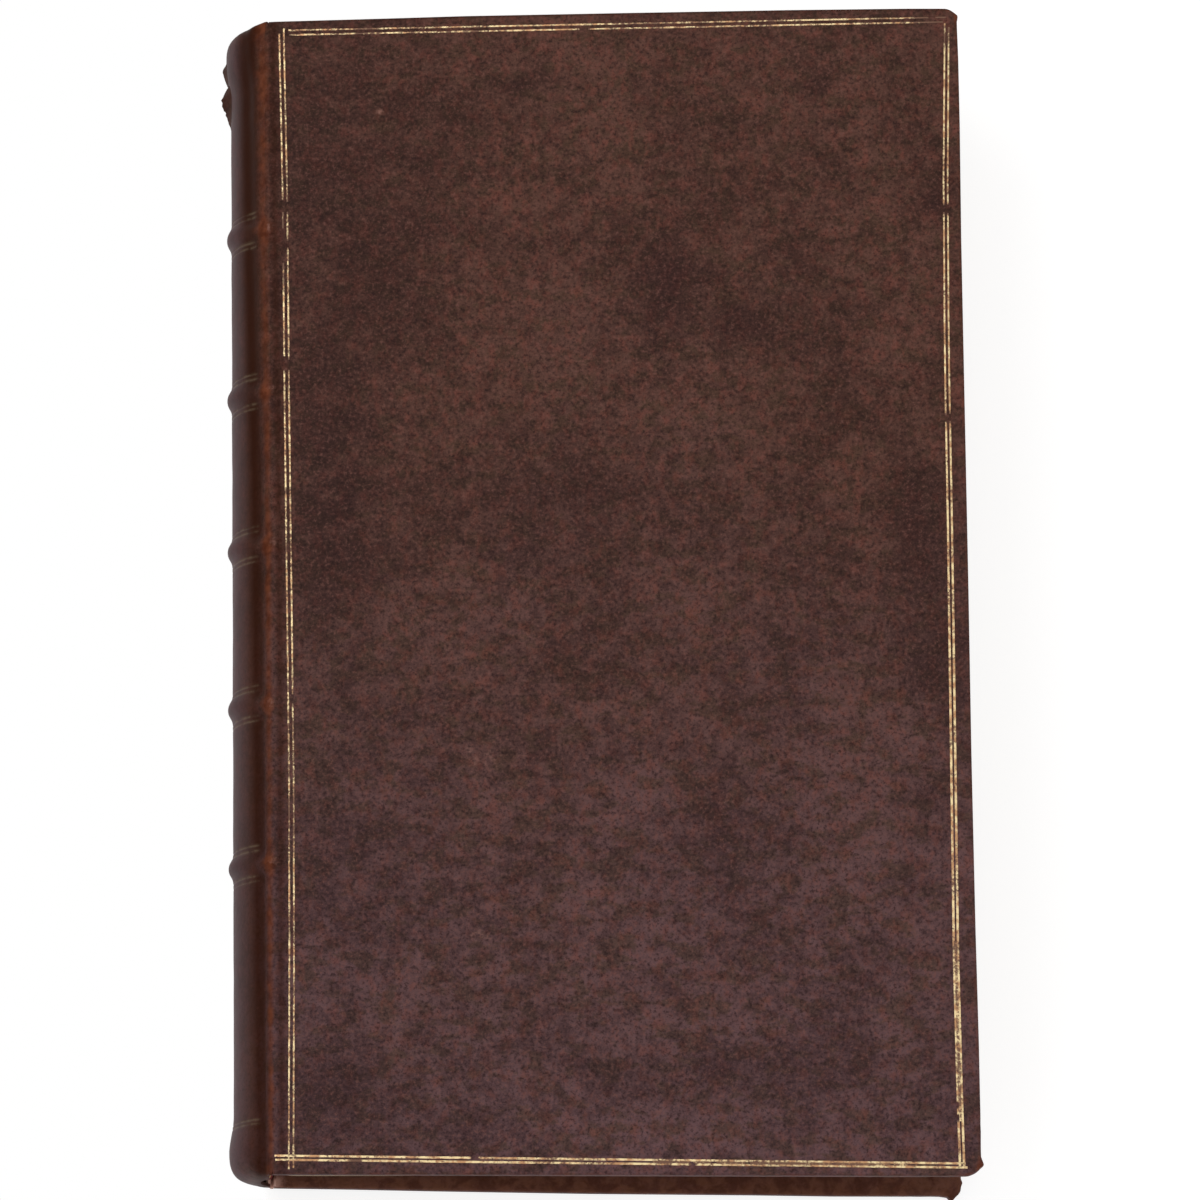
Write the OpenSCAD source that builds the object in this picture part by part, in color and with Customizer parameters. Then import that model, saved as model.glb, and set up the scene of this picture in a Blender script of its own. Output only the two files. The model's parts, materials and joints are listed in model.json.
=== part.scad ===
// Antique leather book, sewn on five raised cords and laced into pasteboard covers.
// It lies closed on its back cover: +X to the fore-edge, +Y to the head, +Z up.

/* [Covers] */
// Height of the covers from head to tail
cover_h = 200; // [185:1:215]
// Width of a cover from the joint to the fore-edge
cover_w = 119.3; // [105:0.1:135]
// How much lower the tail edge lies at the fore-edge than at the joint
cover_skew = 1.6; // [0:0.1:2.5]
// How much higher the front cover stands at the fore-edge than at the joint
fore_rise = 6.6; // [2:0.1:9]
// Thickness of the pasteboards
board_t = 2.4; // [1.8:0.1:3]
// Thickness of the leather over the boards
leather_t = 0.6; // [0.4:0.1:1]
// Thickness of the pared leather turned in behind the boards
turn_in_t = 0.4; // [0.3:0.1:0.6]
// Width of the turn-ins along the three outer edges
turn_in_w = 12; // [8:0.5:16]
// Bevel along the worn outer edges
edge_bevel = 0.5; // [0.2:0.1:0.8]
// Radius of the rubbed corner at the head
head_corner_r = 1; // [0.6:0.1:2]
// Radius of the worn corner at the tail
tail_corner_r = 2.2; // [0.6:0.1:3]

/* [Text block] */
// Overhang of the covers at the head
head_square = 3; // [2.6:0.1:4]
// Overhang of the covers at the tail
tail_square = 2.4; // [2.3:0.1:4]
// How much lower the cut tail of the leaves lies at the fore-edge
leaf_skew = 0.8; // [0:0.1:1.5]
// Overhang of the covers at the fore-edge
fore_square = 3; // [2:0.1:4.5]
// Depth of the hollow fore-edge
fore_hollow = 4.5; // [2:0.1:6]
// Air between the leaves and each closed cover
leaf_gap = 0.3; // [0.2:0.05:0.5]
// Thickness of the pastedown paper over the turn-ins
paper_t = 0.2; // [0.1:0.05:0.4]
// How far the pastedown laps over the turn-ins
paper_lap = 3; // [1:0.5:5]

/* [Spine] */
// Thickness of the closed book at the joints
spine_t = 29; // [26:1:34]
// How far the rounded spine stands out past the joints
spine_round = 6.7; // [5.5:0.1:8]
// Thickness of the spine leather
spine_leather_t = 0.7; // [0.5:0.1:0.8]
// Radius of the rounded head and tail caps
cap_r = 4.8; // [4.6:0.1:6]
// How far the cap leather reaches in over the endbands
cap_lip = 0.3; // [0:0.1:0.6]
// Radius of the sunk joint beside each board
groove_r = 1.1; // [0.8:0.1:1.2]
// Distance of the sunk joint's centre from the board
groove_x = 2; // [1.8:0.1:2.3]
// Depth of the sunk joint's centre under the cover
groove_z = 1.3; // [1.2:0.1:1.5]
// Width of the hinging strip between the spine leather and a cover
hinge_gap = 0.6; // [0.5:0.1:0.8]
// How far the two torn flakes stand out near the head
flake_rise = 1.7; // [0.5:0.1:2]
// Angle round the spine that a flake covers
flake_turn = 9; // [4:1:16]

/* [Sewing] */
// Diameter of the sewing cords
cord_d = 2.8; // [2:0.1:3.2]
// How far the raised bands stand out at the crest of the spine
band_rise = 0.8; // [0.5:0.1:1.2]
// Distance from the head to the middle of the first band
first_band = 36; // [30:0.5:40]
// Distance from one band to the next
band_pitch = 27.7; // [24:0.1:29]
// How far the second band sits off its even place
second_band_drift = -0.9; // [-1.5:0.1:1.5]
// Distance of the cord ends from the joint
cord_end = 1; // [1:0.1:2]
// Width of the frayed and flattened cord slips
slip_w = 3.4; // [2.5:0.1:4.5]
// Thickness of the slips
slip_t = 0.9; // [0.6:0.1:1]
// Distance from the joint to the lacing holes
slip_run = 9; // [6:0.5:14]
// Length of the slip ends pasted down inside the boards
slip_tail = 7; // [4:0.5:12]
// Diameter of the lacing holes
lacing_d = 2; // [1.5:0.1:2.4]
// Diameter of the sewn endbands
endband_d = 1.5; // [1.2:0.1:1.6]

/* [Tooling] */
// Width of each gilt line
fillet_w = 0.35; // [0.3:0.05:0.6]
// Depth of the tooled lines
fillet_t = 0.12; // [0.08:0.02:0.2]
// Distance between the two lines of a pair
fillet_pitch = 0.84; // [0.7:0.02:1.5]
// Distance of the frame from the joint
fillet_joint = 2.6; // [1.5:0.1:6]
// Distance of the frame from the fore-edge
fillet_fore = 2.4; // [1.5:0.1:6]
// Distance of the frame from the head
fillet_head = 1.2; // [1:0.1:6]
// Distance of the frame from the tail
fillet_tail = 1.8; // [1:0.1:6]

/* [Hidden] */
$fn = 96;
eps = 0.01;
bands = 5;
cap_steps = 8;
corner_steps = 6;
// How far a cutting shape runs past what it cuts
overrun = 2;
// Where the torn flakes begin and end, counted from the head, and how they slant and sit
flakes = [[5, 7.6], [9, 15]];
flake_slant = 1;
flake_root = 0.2;
// Levels through a cover, measured down from its outer face
board_top = leather_t;
board_bottom = leather_t + board_t;
cover_t = board_bottom + turn_in_t;
lined_t = cover_t + paper_t;
board_x = hinge_gap / 2;
// The hinge lines run along the outer faces, half a gap outside the boards
hinge_x = -hinge_gap / 2;
mid_z = spine_t / 2;
front_slope = asin(fore_rise / cover_w);
// The round of the spine is an arc through both joints
spine_r = (mid_z * mid_z + spine_round * spine_round) / (2 * spine_round);
spine_x = spine_r - spine_round;
spine_a = asin(mid_z / spine_r);
// The bands ride on a tighter arc that meets the spine again near the joints
band_foot_x = -cord_end;
band_foot_z = sqrt(spine_r * spine_r - pow(spine_x - band_foot_x, 2));
band_sag = spine_round + band_rise + band_foot_x;
band_r = (band_foot_z * band_foot_z + band_sag * band_sag) / (2 * band_sag);
band_x = band_r - spine_round - band_rise;
cord_r = cord_d / 2;
cord_path_r = band_r - cord_r - spine_leather_t;
// The leaves
leaf_head = cover_h / 2 - head_square;
leaf_tail = -cover_h / 2 + tail_square;
leaf_fore = cover_w - fore_square;
leaf_bottom = lined_t + leaf_gap;
leaf_top = spine_t - leaf_bottom + leaf_fore * sin(front_slope);
leaf_mid = (leaf_bottom + leaf_top) / 2;
leaf_half = (leaf_top - leaf_bottom) / 2;
// How far the flat leaves run in under the round of the spine
shoulder_lap = 0.1;
hollow_r = (leaf_half * leaf_half + fore_hollow * fore_hollow) / (2 * fore_hollow);
// The book is placed by the middle of its outline
crest_x = -spine_round - max(band_rise, flake_rise);
shift = [-(crest_x + cover_w) / 2, cover_skew / 2, 0];

// Height on the spine of the middle of a band, counted from the head
function band_y(i) = cover_h / 2 - first_band - i * band_pitch + (i == 1 ? second_band_drift : 0);

// Rounded corner of the spine's outline in radius and height, from the head's face to the side
function cap_points(inset) = [for (k = [0:cap_steps])
    let (turn = 90 * k / cap_steps)
    [spine_r - cap_r + (cap_r - inset) * sin(turn),
     cover_h / 2 - cap_r + (cap_r - inset) * cos(turn)]];

// Outline of the whole spine in radius and height, set in from the leather's face
function spine_points(inset) = concat(
    [[0, cover_h / 2 - inset]],
    cap_points(inset),
    [for (k = [cap_steps:-1:0]) [cap_points(inset)[k][0], -cap_points(inset)[k][1]]],
    [[0, -cover_h / 2 + inset]]);

// Points of a rounded outline corner between two edge directions of a cover
function corner_points(x, y, r, from) = [for (k = [0:corner_steps])
    let (turn = from + 90 * k / corner_steps)
    [x + r * cos(turn), y + r * sin(turn)]];

// Lowest edge of a cover or of the leaves at a distance from the joint
function tail_y(x, skew) = -skew * x / cover_w;

module place() {
    translate(shift) children();
}

// Turns a shape drawn in radius and height about a line along the spine
module turn_about(x, half_angle) {
    translate([x, 0, mid_z]) rotate([-90, 0, 0])
        rotate([0, 0, 180 - half_angle]) rotate_extrude(angle = 2 * half_angle) children();
}

module bar_along_y(x, z, r) {
    translate([x, 0, z]) rotate([-90, 0, 0])
        cylinder(r = r, h = cover_h + 2 * cover_skew + overrun, center = true);
}

module spine_solid(inset) {
    turn_about(spine_x, spine_a) polygon(spine_points(inset));
}

// A cord, or the leather ridge over it
module cord_ring(i, r) {
    translate([0, band_y(i), 0]) turn_about(band_x, spine_a)
        translate([cord_path_r, 0]) circle(r = r, $fn = 32);
}

module both_grooves(extra) {
    for (z = [groove_z, spine_t - groove_z]) bar_along_y(-groove_x, z, groove_r + extra);
}

module left_of(x) {
    translate([x - spine_r, -cover_h, -spine_t]) cube([spine_r, 2 * cover_h, 3 * spine_t]);
}

// The cut leaves seen from above
module leaf_plan() {
    linear_extrude(spine_t + fore_rise) polygon([
        [-spine_r, leaf_head], [leaf_fore, leaf_head],
        [leaf_fore, leaf_tail + tail_y(leaf_fore, leaf_skew)], [0, leaf_tail], [-spine_r, leaf_tail]]);
}

// The leaves seen from the tail, from the shoulder to the fore-edge
module leaf_wedge() {
    top = spine_t - leaf_bottom;
    rotate([90, 0, 0]) linear_extrude(2 * cover_h, center = true) polygon([
        [-hinge_gap - shoulder_lap, leaf_bottom], [leaf_fore, leaf_bottom],
        [leaf_fore, leaf_top], [-hinge_gap - shoulder_lap, top]]);
}

// Torn flakes of leather standing out beside the first compartment
module torn_flakes() {
    for (flake = flakes)
        translate([spine_x, cover_h / 2, mid_z]) rotate([-90, 0, 0])
            rotate([0, 0, 180 - flake_turn / 2]) rotate_extrude(angle = flake_turn) polygon([
                [spine_r - flake_root, -flake[1] - flake_slant],
                [spine_r + flake_rise, -flake[1] + flake_slant / 2],
                [spine_r + flake_rise - flake_root, -flake[0] - flake_slant],
                [spine_r - flake_root, -flake[0]]]);
}

// Plan of a cover set in from its edges, square at the joint
module cover_plan(x0, inset, r_head, r_tail) {
    x1 = cover_w - inset;
    y1 = cover_h / 2 - inset;
    y0 = -cover_h / 2 + inset;
    polygon(concat([[x0, y0 + tail_y(x0, cover_skew)]],
        corner_points(x1 - r_tail, y0 + tail_y(x1 - r_tail, cover_skew) + r_tail, r_tail, 270),
        corner_points(x1 - r_head, y1 - r_head, r_head, 0),
        [[x0, y1]]));
}

// A layer of a cover between two depths under its outer face
module cover_layer(from, to, x0, inset, r_head, r_tail) {
    translate([0, 0, -to]) linear_extrude(to - from) cover_plan(x0, inset, r_head, r_tail);
}

// Cuts a bevel along the edge from p to q at height z, with the cover on its left
module bevel_cut(p, q, z, tilt) {
    run = q - p;
    depth = edge_bevel / sqrt(2);
    reach = 2 * edge_bevel;
    translate([p[0], p[1], z]) rotate([0, 0, atan2(run[1], run[0])])
        rotate([tilt, 0, 0]) translate([-overrun, -reach, -depth])
            cube([norm(run) + 2 * overrun, 2 * reach, 2 * depth]);
}

module outer_bevels() {
    joint_tail = [0, -cover_h / 2];
    fore_tail = [cover_w, -cover_h / 2 + tail_y(cover_w, cover_skew)];
    fore_head = [cover_w, cover_h / 2];
    joint_head = [0, cover_h / 2];
    for (side = [[0, 45], [-cover_t, -45]]) {
        bevel_cut(joint_tail, fore_tail, side[0], side[1]);
        bevel_cut(fore_tail, fore_head, side[0], side[1]);
        bevel_cut(fore_head, joint_head, side[0], side[1]);
    }
    bevel_cut(joint_head, joint_tail, 0, 45);
}

// A laced-in cord end: down the board's edge, over its face, through it and along its back
module slip_shape(i) {
    start = board_x;
    hole = start + slip_run;
    translate([0, band_y(i), 0]) {
        translate([start, -slip_w / 2, -board_bottom]) cube([slip_t, slip_w, board_t]);
        translate([start, -slip_w / 2, -board_top - slip_t]) cube([slip_run + lacing_d, slip_w, slip_t]);
        translate([hole, 0, -board_bottom]) cylinder(d = lacing_d, h = board_t);
        translate([hole - lacing_d, -slip_w / 2, -board_bottom]) cube([slip_tail, slip_w, slip_t / 2]);
    }
}

// One straight tooled line between two points of a cover, standing over its face
module tooled_line(p, q, over) {
    run = q - p;
    translate([p[0], p[1], -fillet_t]) rotate([0, 0, atan2(run[1], run[0])])
        translate([-fillet_w / 2, -fillet_w / 2, 0]) cube([norm(run) + fillet_w, fillet_w, fillet_t + over]);
}

// Two nested frames of tooled lines
module line_frame(over) {
    for (step = [0, fillet_pitch]) {
        x0 = fillet_joint + step;
        x1 = cover_w - fillet_fore - step;
        y1 = cover_h / 2 - fillet_head - step;
        y0 = -cover_h / 2 + fillet_tail + step;
        tail_joint = [x0, y0 + tail_y(x0, cover_skew)];
        tail_fore = [x1, y0 + tail_y(x1, cover_skew)];
        tooled_line(tail_joint, tail_fore, over);
        tooled_line(tail_fore, [x1, y1], over);
        tooled_line([x0, y1], [x1, y1], over);
        tooled_line(tail_joint, [x0, y1], over);
    }
}

// Covers are drawn with the outer face at zero height, then laid on either side
module lay_front() {
    translate([hinge_x, 0, spine_t]) rotate([0, -front_slope, 0]) translate([-hinge_x, 0, 0]) children();
}

module lay_back() {
    mirror([0, 0, 1]) children();
}

module board_shape() {
    difference() {
        cover_layer(board_top, board_bottom, board_x, leather_t,
            head_corner_r - leather_t / 2, tail_corner_r - leather_t / 2);
        for (i = [0:bands - 1]) slip_shape(i);
    }
}

module cover_leather_shape() {
    difference() {
        cover_layer(0, cover_t, 0, 0, head_corner_r, tail_corner_r);
        cover_layer(board_top, board_bottom, -overrun, leather_t,
            head_corner_r - leather_t / 2, tail_corner_r - leather_t / 2);
        turn_in_window(board_bottom - eps, cover_t + eps, -overrun, turn_in_w);
        outer_bevels();
        line_frame(eps);
    }
}

// The part of the inner face inside the turn-ins
module turn_in_window(from, to, x0, margin) {
    cover_layer(from, to, x0, margin, head_corner_r, tail_corner_r);
}

module pastedown_shape() {
    turn_in_window(board_bottom, cover_t, board_x, turn_in_w);
    turn_in_window(cover_t, lined_t, board_x, turn_in_w - paper_lap);
}

module text_block() {
    color("burlywood") place() intersection() {
        leaf_plan();
        difference() {
            union() {
                leaf_wedge();
                intersection() {
                    spine_solid(spine_leather_t);
                    left_of(-hinge_gap);
                }
            }
            bar_along_y(leaf_fore + hollow_r - fore_hollow, leaf_mid, hollow_r);
            both_grooves(spine_leather_t);
            for (i = [0:bands - 1]) cord_ring(i, cord_r);
        }
    }
}

module sewing_cord(i) {
    color("wheat") place() intersection() {
        cord_ring(i, cord_r);
        left_of(-cord_end);
    }
}

module endband(end, leaf_end) {
    color("indianred") place() intersection() {
        translate([0, leaf_end + end * endband_d / 2, 0]) turn_about(spine_x, spine_a)
            translate([spine_r - cap_r + endband_d / 2, 0]) circle(d = endband_d, $fn = 32);
        left_of(-hinge_gap);
    }
}

module spine_leather() {
    color("rosybrown") place() difference() {
        union() {
            spine_solid(0);
            torn_flakes();
            for (i = [0:bands - 1]) cord_ring(i, cord_r + spine_leather_t);
        }
        spine_solid(spine_leather_t);
        for (i = [0:bands - 1]) cord_ring(i, cord_r);
        both_grooves(0);
        for (end = [1, -1]) cap_mouth(end);
        translate([-hinge_gap, -cover_h, -spine_t]) cube([2 * spine_r, 2 * cover_h, 3 * spine_t]);
    }
}

// The opening inside a cap, over the endband
module cap_mouth(end) {
    translate([spine_x, end * cover_h / 2, mid_z]) rotate([-90, 0, 0])
        cylinder(r = spine_r - cap_r + cap_lip, h = 2 * cap_r, center = true);
}

module front_board() { color("tan") place() lay_front() board_shape(); }
module back_board() { color("tan") place() lay_back() board_shape(); }
module front_slip(i) { color("wheat") place() lay_front() slip_shape(i); }
module back_slip(i) { color("wheat") place() lay_back() slip_shape(i); }
module front_cover_leather() { color("saddlebrown") place() lay_front() cover_leather_shape(); }
module back_cover_leather() { color("saddlebrown") place() lay_back() cover_leather_shape(); }
module front_pastedown() { color("antiquewhite") place() lay_front() pastedown_shape(); }
module back_pastedown() { color("antiquewhite") place() lay_back() pastedown_shape(); }
module front_gilt_lines() { color("gold") place() lay_front() line_frame(0); }
module back_gilt_lines() { color("gold") place() lay_back() line_frame(0); }

text_block();
sewing_cord(0);  // sewing_cord_1
sewing_cord(1);  // sewing_cord_2
sewing_cord(2);  // sewing_cord_3
sewing_cord(3);  // sewing_cord_4
sewing_cord(4);  // sewing_cord_5
endband(1, leaf_head);  // head_endband
endband(-1, leaf_tail);  // tail_endband
spine_leather();
front_board();
front_slip(0);  // front_slip_1
front_slip(1);  // front_slip_2
front_slip(2);  // front_slip_3
front_slip(3);  // front_slip_4
front_slip(4);  // front_slip_5
front_cover_leather();
front_pastedown();
front_gilt_lines();
back_board();
back_slip(0);  // back_slip_1
back_slip(1);  // back_slip_2
back_slip(2);  // back_slip_3
back_slip(3);  // back_slip_4
back_slip(4);  // back_slip_5
back_cover_leather();
back_pastedown();
back_gilt_lines();
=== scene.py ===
# %% [markdown]
# An antique book in full calf
#
# This lesson dresses a small leather-bound book of about the eighteenth century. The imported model
# gives the bodies and the sizes. Here each piece gets the shape and the finish that years of use
# left on it: rubbed joints, hand-tooled gold lines, sewn endbands and dusty leaf edges.
# Every cell makes one piece or one finish, so each can be run and changed by itself.

# %% Load the frame
import json
import math

import bpy
import numpy as np
from mathutils import Matrix, Vector, noise


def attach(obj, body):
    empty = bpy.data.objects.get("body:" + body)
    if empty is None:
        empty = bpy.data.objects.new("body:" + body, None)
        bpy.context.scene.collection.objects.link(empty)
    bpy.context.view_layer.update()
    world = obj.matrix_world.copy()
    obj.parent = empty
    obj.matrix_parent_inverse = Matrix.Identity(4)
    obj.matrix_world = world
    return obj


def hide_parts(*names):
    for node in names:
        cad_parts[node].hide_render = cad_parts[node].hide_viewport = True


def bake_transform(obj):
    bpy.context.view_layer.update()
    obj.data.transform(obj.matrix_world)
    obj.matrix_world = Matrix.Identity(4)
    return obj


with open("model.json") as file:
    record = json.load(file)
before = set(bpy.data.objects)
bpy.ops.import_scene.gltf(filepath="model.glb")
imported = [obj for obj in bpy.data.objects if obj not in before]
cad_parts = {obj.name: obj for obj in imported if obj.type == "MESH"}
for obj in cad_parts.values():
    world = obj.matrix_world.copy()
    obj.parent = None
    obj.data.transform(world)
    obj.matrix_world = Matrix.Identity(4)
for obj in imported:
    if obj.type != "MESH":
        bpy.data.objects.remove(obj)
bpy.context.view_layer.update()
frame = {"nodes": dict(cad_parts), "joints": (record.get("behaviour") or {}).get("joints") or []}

# %% [markdown]
# The camera comes first, because every later choice is judged through it. A long lens looks down
# on the book from a little towards its tail, as a copy stand does when the camera isn't quite level.

# %% Camera
def put(name, data):
    """An object in the scene that shows the given camera, lamp or mesh."""
    made = bpy.data.objects.new(name, data)
    bpy.context.scene.collection.objects.link(made)
    return made


EYE = Vector((-0.04682, -0.21535, 1.24324))
TILT_X, TILT_Y, ROLL = -0.0394, 0.1773, -0.0117
LENS = 215.7

backward = Vector((math.sin(TILT_X), -math.sin(TILT_Y), 1)).normalized()
level_right = Vector((0, 1, 0)).cross(backward).normalized()
level_up = backward.cross(level_right)
right = math.cos(ROLL) * level_right + math.sin(ROLL) * level_up
up = math.cos(ROLL) * level_up - math.sin(ROLL) * level_right
lens = bpy.data.cameras.new("copy_stand_camera")
lens.lens = LENS
camera = put("copy_stand_camera", lens)
camera.matrix_world = Matrix.Translation(EYE) @ Matrix((right, up, backward)).transposed().to_4x4()
bpy.context.scene.camera = camera
print("camera looks along", [round(v, 3) for v in -backward])

# %% [markdown]
# A bookbinder measures from the joint, where the covers hinge. So the lesson works in millimetres
# in book measure: x from the joint to the fore-edge, y from the middle towards the head, z up.
# One function turns book measure into the frame's metres. The joint's place comes from the frame.

# %% Book measure
HINGE_X = -0.3
SPINE_T = frame["joints"][0]["pos_m"][2] * 1000
JOINT_LEFT = frame["joints"][0]["pos_m"][0] * 1000 - HINGE_X
MIDDLE_UP = 0.8
COVER_W = 119.3
COVER_T = 3.4
FORE_RISE = 6.6
FRONT_SLOPE = math.asin(FORE_RISE / COVER_W)
SPINE_X, SPINE_Z, SPINE_R = 12.34, SPINE_T / 2, 19.04
BANDS = [64, 35.4, 8.6, -19.1, -46.8]


def to_frame(points):
    """Book measure in millimetres to the frame's metres."""
    return (np.asarray(points, float) + (JOINT_LEFT, MIDDLE_UP, 0)) / 1000


def ripple(points, size, seed=0):
    """Smooth noise from -1 to 1 whose bumps are about size millimetres apart."""
    flat = np.asarray(points, float).reshape(-1, 3) / size + (seed * 7.31, seed * 3.7, seed)
    return np.array([noise.noise(p) for p in flat]).reshape(np.shape(points)[:-1])


def ease(value, low, high):
    """0 below low, 1 above high and a smooth step between them."""
    t = np.clip((np.asarray(value, float) - low) / (high - low), 0, 1)
    return t * t * (3 - 2 * t)


def hill(offset, reach, power=2):
    """1 in the middle and fading to 0 on both sides; a higher power flattens the top."""
    return np.exp(-(np.abs(offset) / reach) ** power)


def at(x, y=0.0, z=0.0):
    """Points from coordinates, each of them an array or one number for all."""
    return np.stack(np.broadcast_arrays(x, y, z), -1)


print("thickness at the joint", round(SPINE_T, 2), "mm, slope", round(math.degrees(FRONT_SLOPE), 2))

# %% [markdown]
# Meshes are made from grids of points, because leather and paper are sheets. One helper makes the
# faces of a grid, and another turns points and faces into a piece that rides on its body. Leather
# and paper have a thickness, so a sheet gets its back and its rim from a Solidify modifier, which is
# applied at once. Sheets also carry painted values, such as how worn each point is.


# %% Helpers for sheets
def quads(rows, cols, wrap=False, start=0, flip=False):
    """Faces of a grid of points numbered row by row; flip turns them over."""
    i, j = np.meshgrid(np.arange(rows - 1), np.arange(cols if wrap else cols - 1), indexing="ij")
    k = (j + 1) % cols
    corners = [i * cols + j, i * cols + k, (i + 1) * cols + k, (i + 1) * cols + j]
    return (np.stack(corners[::-1] if flip else corners, -1).reshape(-1, 4) + start).tolist()


def modify(piece, kind, **settings):
    """Adds a modifier and applies it, so that the mesh itself has the shape."""
    modifier = piece.modifiers.new(kind.lower(), kind)
    for key, value in settings.items():
        setattr(modifier, key, value)
    made = bpy.data.meshes.new_from_object(piece.evaluated_get(bpy.context.evaluated_depsgraph_get()))
    piece.modifiers.clear()
    piece.data = made


def make_piece(name, points, faces, finish, body, node=None, sheet=None, painted=None,
               weld=False):
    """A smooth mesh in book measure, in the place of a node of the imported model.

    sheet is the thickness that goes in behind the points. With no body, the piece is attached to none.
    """
    mesh = bpy.data.meshes.new(name)
    mesh.from_pydata(to_frame(np.reshape(points, (-1, 3))).tolist(), [], faces)
    for key, values in (painted or {}).items():
        layer = mesh.attributes.new(key, "FLOAT", "POINT")
        layer.data.foreach_set("value", np.asarray(values, np.float32).ravel())
    piece = put(name, mesh)
    if weld:
        modify(piece, "WELD", merge_threshold=2e-6)
    if sheet:
        modify(piece, "SOLIDIFY", thickness=sheet / 1000, offset=-1)
    piece.data.shade_smooth()
    piece.data.set_sharp_from_angle(angle=math.radians(50))
    piece.data.materials.clear()
    piece.data.materials.append(finish)
    if body:
        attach(piece, body)
    if node:
        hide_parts(node)
    print(name, len(piece.data.polygons), "faces")
    return piece


# %% [markdown]
# Finishes are written as sums. The class below wraps a socket of a shader node, so that masks can be
# added and multiplied like numbers. The finish class makes every other node through one method.
# Noise is given in millimetres on the object, so that a grain has its real size on every piece.


# %% Helpers for finishes
class Mask:
    """A number that varies over a surface."""

    def __init__(self, finish, socket):
        self.finish, self.socket = finish, socket

    def maths(self, operation, first, second):
        return self.finish.node("Math", {"operation": operation}, {0: first, 1: second})

    def __add__(self, other):
        return self.maths("ADD", self, other)

    def __sub__(self, other):
        return self.maths("SUBTRACT", self, other)

    def __rsub__(self, other):
        return self.maths("SUBTRACT", other, self)

    def __mul__(self, other):
        return self.maths("MULTIPLY", self, other)

    __radd__, __rmul__ = __add__, __mul__

    def step(self, low, high):
        """0 below low, 1 above high and smooth between them."""
        settings = {"interpolation_type": "SMOOTHSTEP", "clamp": True}
        return self.finish.node("MapRange", settings, {0: self, 1: low, 2: high})

    def limit(self):
        """The value kept between 0 and 1."""
        return self.finish.node("Clamp", {}, {0: self})


class Finish:
    """A material made of masks and colours."""

    def __init__(self, name, owners=None):
        self.material = (bpy.data.materials if owners is None else owners).new(name)
        self.material.use_nodes = True
        self.tree = self.material.node_tree
        self.tree.nodes.clear()
        if owners is None:
            place = self.node("TexCoord", {}, {}, "Object")
            self.place = self.node("VectorMath", {"operation": "SCALE"}, {0: place, "Scale": 1000.0})
            x, y = (self.node("SeparateXYZ", {}, {0: self.place}, k) for k in (0, 1))
            self.x, self.y = x - JOINT_LEFT, y - MIDDLE_UP

    def node(self, kind, settings, inputs, output=0):
        made = self.tree.nodes.new("ShaderNode" + kind)
        for key, value in settings.items():
            setattr(made, key, value)
        for key, value in inputs.items():
            if isinstance(value, Mask):
                self.tree.links.new(value.socket, made.inputs[key])
            else:
                made.inputs[key].default_value = value
        return Mask(self, made.outputs[output] if made.outputs else None)

    def noise(self, size, detail=2.0, rough=0.5, stretch=(1, 1, 1), twist=0.0):
        """Clouds about size millimetres across, from 0 to 1 and mostly near a half."""
        where = self.node("VectorMath", {"operation": "MULTIPLY"}, {0: self.place, 1: stretch})
        inputs = {"Scale": 1 / size, "Detail": detail, "Roughness": rough, "Distortion": twist}
        return self.node("TexNoise", {}, {"Vector": where, **inputs})

    def painted(self, name):
        return self.node("Attribute", {"attribute_name": name}, {}, "Fac")

    def mix(self, mask, first, second):
        """first where the mask is 0 and second where it is 1, as colours."""
        return self.node("Mix", {"data_type": "RGBA"}, {0: mask, 6: first, 7: second}, 2)

    def layers(self, ground, *coats):
        """A ground under coats of colour, laid one after another; each is (mask, colour)."""
        for mask, colour in coats:
            ground = self.mix(mask, ground, colour)
        return ground

    def bump(self, height, size, below=None):
        """Normals from a height mask whose full range stands size millimetres high."""
        inputs = {"Height": height, "Distance": size / 1000, "Strength": 1.0}
        if below:
            inputs["Normal"] = below
        return self.node("Bump", {}, inputs)

    def done(self, **sockets):
        """Ends the finish in one surface shader; names are its sockets with _ for a space."""
        inputs = {key.replace("_", " "): value for key, value in sockets.items()}
        surface = self.node("BsdfPrincipled", {}, inputs)
        self.node("OutputMaterial", {}, {"Surface": surface})
        return self.material


def rgb(red, green, blue):
    """A colour as it looks on a screen, from 0 to 255, for a shader."""
    values = [c / 255 for c in (red, green, blue)]
    return tuple(c / 12.92 if c < 0.04045 else ((c + 0.055) / 1.055) ** 2.4 for c in values) + (1.0,)
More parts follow.
